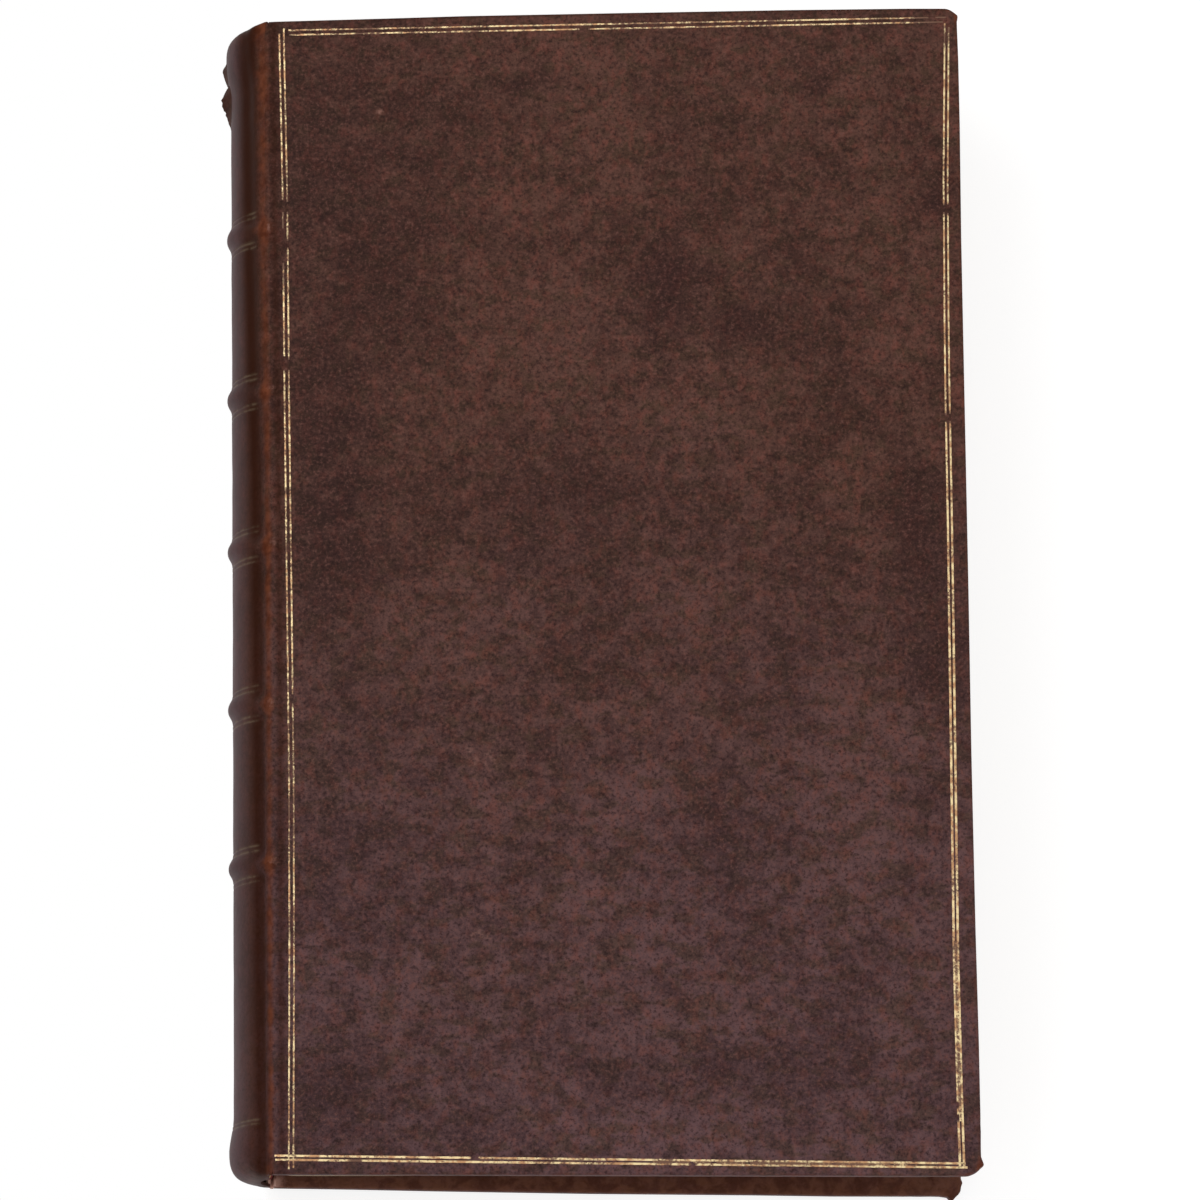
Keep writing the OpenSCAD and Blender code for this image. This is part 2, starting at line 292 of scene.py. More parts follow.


# %% [markdown]
# Calf is a smooth skin. The binder sprinkled and mottled it with iron and potash, so it is covered
# with dark and reddish specks over slow clouds. Its colour is painted lighter and more purple
# towards the tail as a painted sheen, and the spine's outer edge gets a purple-grey painted sheen.
# Handling rubs the skin to an orange-red fibre along every edge, leaves pale scuffs on the hardest
# spots, and polishes the spine, where a coat gives the gloss.


# %% Calf
def make_calf():
    calf = Finish("mottled_calf")
    names = ("worn", "dirt_and_shade", "scuff_and_glare", "polish", "shade", "blind", "inside")
    worn, dirt_and_shade, scuff_and_glare, polish, shade, blind, inside = (calf.painted(k) for k in names)
    # the mottle: slow clouds, olive and red blotches, dark and light specks
    # painted sheen: low runs from the head to the tail and makes the ground and dark clouds lighter and
    # more purple towards the tail
    low = (calf.y * -0.0055 + calf.noise(40, 2) * 0.5 + 0.1).step(0.05, 0.95)
    blotch = calf.noise(2.4, 3, 0.6, twist=0.4)
    clouds = calf.noise(26, 3, 0.5) * 0.28 + calf.noise(8, 4, 0.65) * 0.32
    tone = clouds + blotch * 0.4 - shade * 0.13
    olive = calf.noise(3.4, 3, 0.6, stretch=(0.8, 1.3, 1))
    red = calf.noise(1.9, 4, 0.65, stretch=(1.2, 0.85, 1))
    fine = calf.noise(0.6, 3, 0.75)
    mottled = calf.layers(
        calf.mix(low, rgb(95, 65, 56), rgb(104, 77, 79)),
        (olive.step(0.46, 0.6) * 0.6, rgb(70, 54, 41)),
        (red.step(0.45, 0.68) * (0.6 - low * 0.14), rgb(118, 68, 58)),
        (tone.step(0.6, 0.38) * 0.62, calf.mix(low, rgb(46, 29, 26), rgb(50, 33, 35))),
        (shade * 0.4, rgb(50, 32, 33)),
        (fine.step(0.52, 0.31) * 0.75, rgb(42, 27, 27)),
        (fine.step(0.51, 0.72) * 0.55, rgb(122, 82, 74)),
    )

    # what use did to it: polish with a painted sheen, raw turn-ins, rubbed fibre, dirt and painted
    # shade, scuffs with a painted highlight, and blind rules
    # painted sheen: the polished colour turns purple-grey towards the spine's outermost edge, where
    # gloss shows at a grazing angle
    outer = (calf.x * -0.4 - 1.5).limit()
    polished_with_sheen = calf.mix(outer, rgb(63, 32, 20), rgb(79, 54, 58))
    polished_with_sheen = calf.mix(tone.step(0.6, 0.4) * 0.45, polished_with_sheen, rgb(46, 27, 24))
    raw = calf.mix(blotch.step(0.4, 0.62), rgb(80, 46, 33), rgb(100, 63, 46))
    fibre = calf.mix(calf.noise(1.6, 3).step(0.35, 0.65), rgb(86, 40, 21), rgb(116, 62, 39))
    rubbed = (worn * 1.35 + calf.noise(3, 4, 0.65) * 1.1 - 0.9).step(0.0, 0.9)
    grime_and_shade = (dirt_and_shade * 1.2 + calf.noise(4, 3) * 0.5 - 0.25).limit()
    bare = (scuff_and_glare * 1.6 + calf.noise(1.1, 4, 0.7) * 1.4 - 1.2).step(0.0, 0.6)
    rule = calf.noise(2.2, 3, 0.6).step(0.38, 0.62) * 0.32 + 0.06
    used = calf.layers(
        mottled,
        (((polish - 0.2) * 1.25).limit() * 0.8, polished_with_sheen),
        (inside * 0.8, raw),
        (rubbed * 0.85, fibre),
        # dirt and painted shade: dark brown in the joint's groove and along the head rim
        (grime_and_shade * 0.85, rgb(44, 15, 1)),
        (bare * 0.65, rgb(158, 116, 104)),
        # palest coat: worn leather with a painted highlight, strongest at the tail of the back joint
        (((scuff_and_glare - 0.6) * 1.7).limit(), rgb(224, 184, 170)),
        (blind * rule, rgb(128, 110, 88)),
    )

    grain = calf.noise(0.35, 2, 0.6) * 0.5 + calf.noise(1.3, 3) * 0.5
    lift = calf.bump(calf.noise(6, 3) + rubbed * 0.2, 0.12)
    return calf.done(
        Base_Color=used,
        Roughness=0.6 - polish * 0.12 + rubbed * 0.12 + (blotch - 0.5) * 0.2,
        Specular_IOR_Level=0.03,
        Coat_Weight=(polish * 0.05 - rubbed * 0.04 - dirt_and_shade * 0.05).limit(),
        Coat_Roughness=0.34,
        Normal=calf.bump(grain, 0.035, lift),
    )


CALF = make_calf()
print("calf has", len(CALF.node_tree.nodes), "nodes")

# %% [markdown]
# Gold leaf was laid in the tooled lines with a hot fillet. It has thinned to the leather in specks
# and wears brown where hands touch it, so the finish turns from metal to leather and back.


# %% Gold leaf
def make_gold():
    gold = Finish("worn_gold_leaf")
    speck = gold.noise(0.5, 3, 0.7)
    thin = (speck * 0.8 + gold.noise(6, 2) * 0.45 + gold.painted("rubbed") * 0.5).step(0.6, 0.8)
    bright = gold.mix(gold.noise(1.3, 3).step(0.38, 0.6), rgb(182, 138, 100), rgb(230, 206, 158))
    return gold.done(
        Base_Color=gold.mix(thin, bright, rgb(108, 72, 52)),
        Metallic=1 - thin,
        Roughness=0.36 + thin * 0.25,
        Normal=gold.bump(speck, 0.03),
    )


GOLD = make_gold()

# %% [markdown]
# Rag paper ages to cream. It is browned by the leather it touches, foxed in rusty spots and dusty
# along the cut edges. The painted value "leaf" counts the leaves, so that each leaf edge can have
# its own tone, and "leaf_gap_shade" is 1 on every second leaf, where a painted shade darkens the gaps
# between leaves. "cut" tells the cut edges from the pages, and "stain" is the brown that the
# turned-in leather printed on the facing pages.


# %% Rag paper
def make_paper(name, edges):
    paper = Finish(name)
    foxing = paper.noise(5.5, 4, 0.7).step(0.66, 0.78)
    stain = (paper.painted("stain") * (paper.noise(13, 4, 0.6) * 2.4 - 0.2)).limit()
    ground = paper.layers(
        rgb(231, 214, 184),
        (paper.noise(28, 3).step(0.35, 0.7), rgb(219, 197, 160)),
        (foxing * 0.55, rgb(176, 128, 76)),
        (stain * 0.45, rgb(168, 126, 84)),
    )
    height = paper.noise(0.5, 3) * 0.4
    if edges:
        leaf = paper.node("CombineXYZ", {}, {0: paper.painted("leaf") * 61.3, 1: 0.0, 2: 0.0})
        tone = paper.node("TexNoise", {}, {"Vector": leaf, "Scale": 3.1, "Detail": 2.0})
        section = paper.node("TexNoise", {}, {"Vector": leaf, "Scale": 0.42, "Detail": 3.0})
        cut = paper.painted("cut")
        dust = paper.noise(16, 4, 0.6, stretch=(1, 1, 0.6)).step(0.45, 0.8)
        ground = paper.layers(
            ground,
            (tone.step(0.35, 0.7) * cut * 0.5, rgb(184, 152, 110)),
            (section.step(0.4, 0.62) * cut * 0.5, rgb(160, 126, 87)),
            (dust * (cut * 0.2 + 0.1), rgb(148, 114, 82)),
            # painted shade in the gaps between leaves
            (paper.painted("leaf_gap_shade") * 0.6, rgb(112, 84, 54)),
        )
    else:
        wires = paper.noise(1.1, 1, stretch=(1, 0.03, 1)) * 0.3
        height = height + wires
    return paper.done(
        Base_Color=ground, Roughness=0.82, Specular_IOR_Level=0.2, Normal=paper.bump(height, 0.04)
    )


LEAF_EDGES = make_paper("leaf_edges", True)
PAPER = make_paper("rag_paper", False)

# %% [markdown]
# Hemp cord, pasteboard and endband silk are seen only when a cover is opened or at the caps. Fibres
# run along a cord, so its noise is stretched. Pasteboard is grey-brown pulp with darker shreds.


# %% Cord, board and silk
def make_fibre(name, pale, dark, size, stretch):
    fibre = Finish(name)
    strand = fibre.noise(size, 4, 0.65, stretch=stretch)
    soiled = fibre.noise(7, 3).step(0.5, 0.8) * 0.4
    ground = fibre.layers(dark, (strand.step(0.35, 0.65), pale), (soiled, dark))
    return fibre.done(Base_Color=ground, Roughness=0.85, Normal=fibre.bump(strand, 0.15))


HEMP = make_fibre("hemp_cord", rgb(196, 168, 120), rgb(132, 104, 66), 0.9, (0.3, 1, 1))
BOARD = make_fibre("pasteboard", rgb(168, 144, 110), rgb(120, 98, 72), 1.6, (0.4, 0.4, 3))
RED_SILK = make_fibre("red_silk", rgb(150, 46, 38), rgb(96, 26, 24), 0.5, (1, 1, 1))
CREAM_SILK = make_fibre("cream_silk", rgb(222, 200, 150), rgb(164, 134, 90), 0.5, (1, 1, 1))

for name, node in frame["nodes"].items():
    finish = HEMP if "cord" in name or "slip" in name else BOARD if "board" in name else None
    for place in node.material_slots:
        place.material = finish or place.material

# %% [markdown]
# The covers are boards with the skin drawn over them. The outer face is a grid whose columns and
# rows follow the tooled lines, so that each line is a real furrow. The lines were run by hand with a
# two-line fillet: they wander, run out of square with the board and cross at some of the corners.
#
# Each table below describes one cover. "low", "high" and "fore_out" are its tail, head and fore-edge
# as worn. "tips" are ragged tips at the tail corner: place, two half-widths and reach. "joint",
# "fore", "tail" and "head" are the outer tooled lines, and "runs" says where each line of a pair
# starts and ends. "rubs" are rubbed places on them: place, reach, strength, and line 0, 1 or both (2).

# %% Lines of the covers
EDGE_R = 0.5
FURROW, FLANK = 0.15, 0.23
FURROW_DEEP = 0.09
LINE_W, SMEAR_W = 0.29, 0.3


def through(places, values):
    """A hand-run line through measured points, straight from one to the next."""
    return lambda t: np.interp(t, places, values)


FRONT = {
    "body": "front_cover",
    "low": through([0, 60, 107, COVER_W], [-100.15, -101.1, -101.85, -101.95]),
    "high": through([0, 20, 34, 62, 90, 111, COVER_W],
                    [100.45, 100.7, 100.93, 101.03, 101.09, 101, 100.87]),
    "corners": (2.0, 2.3),
    "tips": [(-0.2, 1.9, 0.8, 0.5, 0.5), (-0.2, 201.5, 0.5, 0.5, 0.3)],
    "fore_out": through([-102, -80, -60, -30, 0, 60, 80, 92, 101],
                        [0.37, 0.37, 0.2, 0.12, 0.2, 0.2, 0.35, 0.33, 0.15]),
    "joint": through([-98, -64, -33, -2, 33, 68, 98], [2.72, 2.96, 3.03, 2.8, 2.52, 2.35, 1.85]),
    "fore": through([-99, -89, -65, 10.5, 35, 46, 64, 70, 98],
                    [116.73, 116.59, 116.43, 116.89, 116.93, 117.02, 117.27, 117.34, 118.08]),
    "tail": lambda x: -97.75 - 0.0245 * np.asarray(x),
    "head": lambda x: 98.75 + 0.0042 * np.asarray(x),
    "runs": {"joint": [(-99.6, 98.4), (-99.4, 99.3)], "fore": [(-100.7, 97.6), (-100.9, 98.4)],
             "tail": [(0.25, 117.5), (0.1, 117.2)], "head": [(3.2, 117.8), (3.4, 117.3)]},
    "rubs": {"joint": [(67.3, 0.9, 1.2, 2), (60.3, 3, 1.2, 0), (60.7, 0.5, 1, 1),
                       (39.5, 0.9, 1, 2), (-19, 1, 0.6, 1)],
             "fore": [(65.2, 0.7, 1.2, 2), (28.4, 0.6, 1, 2), (-90, 0.5, 0.9, 1),
                      (-92.2, 0.6, 0.8, 1), (96, 2, 0.3, 2)],
             "tail": [(34, 0.7, 0.9, 1), (14, 1, 0.5, 0), (71, 0.6, 0.6, 0)],
             "head": [(55, 1, 0.6, 1), (115, 3, 0.35, 2)]},
    "smears": [("fore", -0.36, -93, -62, 0.24), ("tail", 0.34, 64, 109, 0.34)],
}
BACK = {
    "body": "back_cover",
    "low": through([0, 12.6, 26.6, 54.6, 82.6, 96.6, COVER_W],
                   [-100, -100.29, -100.69, -101.38, -101.85, -102.17, -102.4]),
    "high": through([0, COVER_W], [100.3, 100]),
    "corners": (1.4, 1.3),
    "tips": [(-2.1, 0.1, 0.6, 0.6, 1.1), (0.1, 2.2, 0.5, 0.5, 0.25)],
    "fore_out": through([-102, -60, 0, 100], [-0.45, -0.25, 0, 0.1]),
    "joint": through([-98, -40, 20, 98], [2.5, 2.8, 2.6, 2.9]),
    "fore": through([-99, -30, 40, 98], [116.9, 117.2, 116.8, 117.1]),
    "tail": lambda x: -98.0 - 0.0155 * np.asarray(x),
    "head": lambda x: 98.9 - 0.0016 * np.asarray(x),
    "runs": {"joint": [(-99.2, 99.5), (-99.3, 99.2)], "fore": [(-100.4, 99), (-100.2, 99.3)],
             "tail": [(1.2, 118), (0.9, 118.2)], "head": [(1.4, 118.1), (1.6, 117.9)]},
    "rubs": {"joint": [(62, 7, 0.8, 2), (-47, 8, 0.7, 0)], "fore": [(10, 14, 0.7, 1), (-90, 6, 1, 2)],
             "tail": [(60, 20, 0.7, 0)], "head": [(100, 12, 0.8, 2)]},
    "smears": [],
}
STEPS = {"joint": 0.78, "fore": -0.7, "tail": 0.68, "head": -0.84}


def lay_front(x, y, depth):
    """A point of the front cover, from its plan and its depth under the outer face."""
    run = x - HINGE_X
    sine, cosine = math.sin(FRONT_SLOPE), math.cos(FRONT_SLOPE)
    return at(HINGE_X + run * cosine + depth * sine, y, SPINE_T + run * sine - depth * cosine)


FRONT["lay"], BACK["lay"] = lay_front, at

# %% [markdown]
# A ladder holds the columns or rows of the grid. Each rung lies between two lines that may wander,
# or at a set distance from one of them. Solving columns and rows together takes three rounds,
# because the lines are nearly square.


# %% The grid of a cover
# how many rungs lie between the lines, from joint to fore-edge and from tail to head
COLUMN_COUNTS, ROW_COUNTS = (6, 0, 90, 0, 6), (4, 0, 140, 0, 4)


def make_ladder(counts):
    """Rungs (line, offset, line, offset, share) with five rungs on each of the four lines."""
    rungs = [(0, 0, 0, 0, 0)]
    for k, count in enumerate(counts):
        low, high = FLANK * (k > 0), -FLANK * (k < 4)
        rungs += [(k, low, k + 1, high, (i + 1) / (count + 1)) for i in range(count)]
        if k < 4:
            rungs += [(k + 1, s, k + 1, s, 0) for s in (-FLANK, -FURROW, 0, FURROW, FLANK)]
    return rungs + [(5, 0, 5, 0, 0)]


def climb(ladder, lines):
    return np.stack([(1 - f) * (lines[a][..., i] + p) + f * (lines[b][..., i] + q)
                     for i, (a, p, b, q, f) in enumerate(ladder)], -1)


def inset_of(cover, x, y):
    """Distance to the nearest of the three free edges of a cover."""
    return np.minimum(np.minimum(COVER_W - x, y - cover["low"](x)), cover["high"](x) - y)


def round_corners(x, y, x1, y0, y1, head_r, tail_r):
    """Draws a plan in towards its two rounded corners at the fore-edge."""
    x, y = np.array(x), np.array(y)
    for r, corner, side in ((head_r, y1, 1), (tail_r, y0, -1)):
        a = (x - (x1 - r)) / r
        b = side * (y - corner) / r + 1
        inside = (a > 0) & (b > 0)
        a, b = np.clip(a, 0, 1), np.clip(b, 0, 1)
        x = np.where(inside, x1 - r + r * a * np.sqrt(1 - b * b / 2), x)
        y = np.where(inside, corner + side * (r * b * np.sqrt(1 - a * a / 2) - r), y)
    return x, y


def cover_grid(cover):
    """Plan of the outer face, before its corners are rounded."""
    columns, rows = make_ladder(COLUMN_COUNTS), make_ladder(ROW_COUNTS)
    x, y = np.meshgrid(np.linspace(0, COVER_W, len(columns)), np.linspace(-99, 99, len(rows)))
    for _ in range(3):
        joint, fore = cover["joint"](y), cover["fore"](y)
        x = climb(columns, [0 * y, joint, joint + STEPS["joint"], fore + STEPS["fore"], fore,
                            0 * y + COVER_W - EDGE_R])
        tail, head = cover["tail"](x), cover["head"](x)
        levels = [cover["low"](x) + EDGE_R, tail, tail + STEPS["tail"], head + STEPS["head"], head,
                  cover["high"](x) - EDGE_R]
        y = climb(rows, [v.T for v in levels]).T
    return x, y


def line_places(cover):
    """Each tooled line as (edge it follows, step from that edge's first line, run)."""
    for name, step in STEPS.items():
        for which in (0, 1):
            yield name, which * step, cover["runs"][name][which]


def furrow_depth(cover, x, y):
    deep = np.zeros_like(x)
    for name, step, (start, end) in line_places(cover):
        along, across = (y, x) if name in ("joint", "fore") else (x, y)
        off = np.abs(across - cover[name](along) - step)
        inside = (along > start) & (along < end)
        deep = np.maximum(deep, inside * np.clip((FLANK - off) / (FLANK - FURROW), 0, 1))
    return deep * FURROW_DEEP


def face_depth(cover, x, y, furrows=True):
    """How deep the outer face lies under the board's plane: rolled joint, slips, swell, lines."""
    flat = at(x, y)
    depth = 0.16 * (1 - ease(x, -0.2, 1.3))
    slip = 0.34 if cover is FRONT else 0.08
    for band in BANDS:
        swell = hill(y - band + 0.25, 1.9, 2.4)
        depth = depth - slip * swell * (1 - ease(x, 0.5, 12)) * (0.55 + 0.45 * ease(x, -0.3, 0.8))
    near = inset_of(cover, x, y)
    depth = depth + 0.14 * (1 - ease(near, 0.3, 3))
    seed = 1 if cover is FRONT else 5
    depth = depth + 0.07 * ripple(flat, 34, seed) + 0.022 * ripple(flat, 7, seed + 1)
    return depth + (furrow_depth(cover, x, y) if furrows else 0)


# %% [markdown]
# Past the face, the skin turns over the board's edge and is pasted down inside. The loops below
# follow the same outline at growing insets and depths, so the mitred corners of the turn-ins come
# by themselves. The tail corner of the front cover is torn to a tip, as an often bumped corner is.

# %% Cover leather
ROUND = np.radians([20, 40, 60, 80])
EDGE_PATH = [(EDGE_R * (1 - math.sin(a)), EDGE_R * (1 - math.cos(a))) for a in ROUND]
EDGE_PATH += [(0, EDGE_R + 0.1), (-0.03, 1.1), (0.02, 1.7), (-0.02, 2.3), (0, COVER_T - EDGE_R)]
EDGE_PATH += [(EDGE_R * (1 - math.cos(a)), COVER_T - EDGE_R * (1 - math.sin(a))) for a in ROUND]
EDGE_PATH += [(q, COVER_T) for q in (1.2, 3.5, 6, 8.6, 9.4, 11.4)] + [(11.9, 3.3), (12.05, 3.02)]


def outline(cover, x, y, inset):
    """The face's border moved to another inset, with rounded and battered corners."""
    low, high = cover["low"], cover["high"]
    fx = x / (COVER_W - EDGE_R)
    fy = (y - low(x) - EDGE_R) / (high(x) - low(x) - 2 * EDGE_R)
    x1 = COVER_W - inset
    xs = fx * x1
    y0, y1 = low(xs) + inset, high(xs) - inset
    ys = y0 + fy * (y1 - y0)
    return round_corners(xs, ys, x1, y0, y1, *(max(r - inset, 0.05) for r in cover["corners"]))


def batter(cover, points):
    """Small dents, and the ragged tips of skin at the often bumped corners."""
    corner = points - (COVER_W, float(cover["low"](COVER_W)), 0)
    away = np.hypot(corner[..., 0], corner[..., 1])
    out = 0.13 * ripple(points * (1, 1, 0.4), 1.7, 3) * (1 - ease(away, 4, 14))
    for x, y, wide, tall, reach in cover["tips"]:
        out = out + reach * hill(corner[..., 0] - x, wide) * hill(corner[..., 1] - y, tall)
    side = COVER_W - points[..., 0]
    foot = points[..., 1] - cover["low"](points[..., 0])
    points[..., 0] += (out * (foot > 0.6) + cover["fore_out"](points[..., 1])) * ease(side, 1.6, 0.2)
    points[..., 1] -= out * ease(foot, 1.2, 0.3) * np.where(foot > 0.6, 0.4, 0.8)
    return points


# %% [markdown]
# Wear is painted on the points as values from 0 to 1, and the calf finish turns them into colour. It
# follows the book's life: the ridge over each joint rubs first, the rims and corners wear to the fibre,
# and spills and knocks leave stains and scuffs. The groove beside each ridge gets dirt and painted
# shade, the head rim a painted shade, and the tail of the back joint a pale worn patch with a painted
# highlight.

# %% Wear of the covers
RIDGE = through([-98, -20, 20, 60, 98], [-0.35, -0.35, -0.5, -1.0, -1.15])
RIDGE_WIDE = through([-98, 20, 60, 98], [0.85, 0.95, 1.5, 1.95])
GROOVE = through([-98, -20, 20, 60, 98], [-1.8, -2.05, -2.25, -3.3, -3.9])
GROOVE_DIRT_AND_SHADE = through([-98, -20, 20, 60, 98], [-1.8, -2.05, -2.3, -3.2, -3.6])
GROOVE_WIDE = through([-98, 20, 60, 98], [1.2, 1.3, 1.6, 1.7])
HANDLED = 0.12


def joint_wear(x, y):
    """The rubbed ridge of the joint and the groove beside it, darkened with dirt and painted shade, as
    they run along the book.
    """
    ridge = hill(x - RIDGE(y), RIDGE_WIDE(y), 1.7) * (0.7 + 0.12 * ripple(at(y), 9, 21))
    bands = sum(hill(y - b + 0.2, 1.7) for b in BANDS)
    # the groove's dark band is dirt with painted shade where the joint sinks in
    groove = 0.9 * hill(x - GROOVE_DIRT_AND_SHADE(y), GROOVE_WIDE(y), 2.6) * (1 - 0.5 * bands)
    beside = 0.55 * hill(x - RIDGE(y) - 1.9, 0.85)
    worn = np.clip(ridge + 0.25 * bands * ease(np.abs(x), 3, 1), 0, 1)
    return worn, np.maximum(groove, beside), 0.42 * bands * ease(np.abs(x - 0.4), 2.2, 0.4)


# middle x and y, two half-widths and strength
STAINS = [(68.9, 53.3, 7, 8, 0.9), (81, 45.8, 5, 3.5, 0.8), (11.5, 17, 9, 32, 0.8),
          (115, 66.7, 2.2, 2.2, 0.9), (111.5, 10, 5, 10, 0.8), (115, -15, 6, 6, 0.8),
          (43.5, 88.5, 3, 1.6, 0.7), (95, 87.6, 2.4, 2, 0.7), (12, 66, 18, 36, 0.5),
          (72, -84, 16, 6, 0.35), (52, 12, 14, 9, 0.3), (8.5, -86, 8, 8, 0.6),
          (76, -42, 12, 12, 0.25), (15, -48, 14, 17, 0.5)]
SCUFFS = [(35.8, -30, 5, 5, 0.45), (34, -60.5, 5, 2.6, 0.45), (19.3, 83.8, 1.8, 1.2, 0.5),
          (80, -38, 9, 4, 0.3)]
CHAFE = [(19.3, 83.8, 2.2, 1.6, 0.42)]
BACK_STAINS = [(COVER_W - x, y - 9, wide * 1.3, tall, deep) for x, y, wide, tall, deep in STAINS]
BACK_SCUFFS = [(70, 20, 9, 14, 0.4), (30, -50, 12, 6, 0.4), (95, 60, 5, 9, 0.45)]


def spots(places, x, y, seed):
    """Soft uneven spots, the strongest of them at each point."""
    wavy = 1 + 0.6 * ripple(at(x, y), 4, seed)
    total = 0 * x
    for px, py, wide, tall, strength in places:
        total = np.maximum(total, strength * wavy * hill(x - px, wide) * hill(y - py, tall))
    return np.clip(total, 0, 1)


def cover_wear(cover, x, y, depth):
    """Painted values of a cover: rubbed rims and joint, stains, scuffs and the raw turn-ins, with
    painted shade along the head rim and in the joint's groove, and a pale patch with a painted
    highlight at the back joint's tail.
    """
    front = cover is FRONT
    to_fore, to_tail, to_head = COVER_W - x, y - cover["low"](x), cover["high"](x) - y
    corner = np.minimum(np.hypot(to_fore, to_tail), np.hypot(to_fore, to_head))
    inner = ease(depth, 2.2, 3.1)
    worn, dirt_and_shade, scuff_and_glare = joint_wear(x, y)
    rim = 0.42 * ease(inset_of(cover, x, y), 0.7, 0.0) * ease(depth, 3.2, 1.5)
    worn = np.maximum(worn, rim + 0.35 * ease(corner, 5, 0.6)) * (1 - inner) + 0.15 * inner
    # painted shade: the head rim is darkened as the edge that faces away from the light
    dirt_and_shade = np.maximum(dirt_and_shade, 0.5 * ease(to_head, 0.6, 0.2) * ease(x, 10, 20))
    scuff_and_glare = np.maximum(scuff_and_glare, spots(SCUFFS if front else BACK_SCUFFS, x, y, 31)) * (1 - inner)
    if front:
        worn = np.maximum(worn, spots(CHAFE, x, y, 35))
    else:
        # pale worn patch with a painted highlight at the tail of the back joint's turn-in
        scuff_and_glare = np.maximum(scuff_and_glare, 0.9 * hill(x, 2.4) * hill(to_tail - 1, 1.8) * inner)
    stained = spots(STAINS if front else BACK_STAINS, x, y, 33)
    return {"worn": worn, "dirt_and_shade": dirt_and_shade * (1 - inner), "scuff_and_glare": scuff_and_glare, "polish": HANDLED + 0 * x,
            "shade": stained * (1 - inner), "inside": inner}


def make_cover(cover, name, node):
    x, y = cover_grid(cover)
    rows, columns = x.shape
    border = ([(0, c) for c in range(columns)] + [(r, columns - 1) for r in range(1, rows)]
              + [(rows - 1, c) for c in range(columns - 2, -1, -1)])
    ring = [r * columns + c for r, c in border]
    bx, by = x.ravel()[ring], y.ravel()[ring]
    low, high = cover["low"](x) + EDGE_R, cover["high"](x) - EDGE_R
    fx, fy = round_corners(x, y, COVER_W - EDGE_R, low, high, *(r - EDGE_R for r in cover["corners"]))
    plans = [at(fx, fy, face_depth(cover, fx, fy)).reshape(-1, 3)]
    first = plans[0][ring]
    for inset, depth in EDGE_PATH:
        lx, ly = outline(cover, bx, by, inset)
        plans.append(at(lx, ly, depth + ease(depth, 1.4, 0) * first[:, 2]))
    plan = batter(cover, np.concatenate(plans)).T
    size, n = x.size, len(border)
    faces = quads(rows, columns)
    faces += [(ring[i + 1], ring[i], size + i, size + i + 1) for i in range(n - 1)]
    faces += [(b + 1, b, b + n, b + n + 1) for k in range(len(EDGE_PATH) - 1)
              for b in range(size + k * n, size + k * n + n - 1)]
    if cover is BACK:
        faces = [f[::-1] for f in faces]
    make_piece(name, cover["lay"](*plan), faces, CALF, cover["body"], node, 0.45,
               cover_wear(cover, *plan))


make_cover(FRONT, "front_calf", "front_cover_leather")
make_cover(BACK, "back_calf", "back_cover_leather")

# %% [markdown]
# The gold lies on the floor of each furrow as a narrow ribbon. Where it is rubbed off, the ribbon is
# really interrupted, and the finish thins what is left. The fillet was pressed harder at the tail and
# low on the fore-edge, so the gold is wider there. Faint smears of gold lie beside two of the lines.


# %% Gold lines
def make_lines(cover, name, node):
    points, faces, rubbed = [], [], []
    ribbons = [(*place, 0.0, LINE_W) for place in line_places(cover)]
    ribbons += [(edge, step, (a, b), faint, SMEAR_W) for edge, step, a, b, faint in cover["smears"]]
    for number, (edge, step, (start, end), faint, width) in enumerate(ribbons):
        upright = edge in ("joint", "fore")
        along = np.linspace(start + 0.2, end - 0.2, int((end - start) / 0.3))
        centre = cover[edge](along) + step
        trace = at(along, centre)
        worn = np.zeros_like(along)
        for place, reach, strength, line in cover["rubs"][edge]:
            if not faint and line in (2, number % 2):
                worn = np.maximum(worn, strength * hill(along - place, reach))
        worn = worn + faint + (0.12 if edge in ("joint", "head") else 0)
        gap = 0.5 + 0.5 * ripple(trace, 0.9, number + 2) + 0.15 * ripple(trace, 9, number + 20)
        kept = gap + worn < 1.08
        pressed = 0.3 * (edge == "tail") + 0.55 * (edge == "fore") * ease(along, 60, -60)
        wide = width / 2 * (0.95 + 0.25 * ripple(trace, 1.2, number + 40) + pressed)

        across = centre[:, None] + wide[:, None] * (-1, 0, 1)
        along = along[:, None] + 0 * across
        x, y = (across, along) if upright else (along, across)
        level = FURROW_DEEP if width == LINE_W else 0
        ribbon = cover["lay"](x, y, face_depth(cover, x, y, False) + level - 0.02)
        strips = quads(len(worn), 3, start=len(rubbed), flip=upright != (cover is BACK))
        faces += [f for i, f in enumerate(strips) if kept[i // 2] and kept[i // 2 + 1]]
        points.append(ribbon.reshape(-1, 3))
        rubbed += np.repeat(worn, 3).tolist()
    used, faces = np.unique(faces, return_inverse=True)
    make_piece(name, np.concatenate(points)[used], faces.reshape(-1, 4).tolist(), GOLD,
               cover["body"], node, 0.03, {"rubbed": np.array(rubbed)[used]})


make_lines(FRONT, "front_gold_lines", "front_gilt_lines")
make_lines(BACK, "back_gold_lines", "back_gilt_lines")

# %% [markdown]
# The spine is rounded and its skin is stuck straight to the folded leaves, so it shows every cord as
# a raised band. Beside each band the binder ran a double blind rule. At head and tail the skin is
# moulded over the endbands as caps. Its outline is worked out round the spine's centre: an angle, a
# height along the book, and a radius that carries bands, rules, sunk joints and swollen caps.
# Its own skin ends at SPINE_TURN degrees from the crest on both sides, where the joints begin.

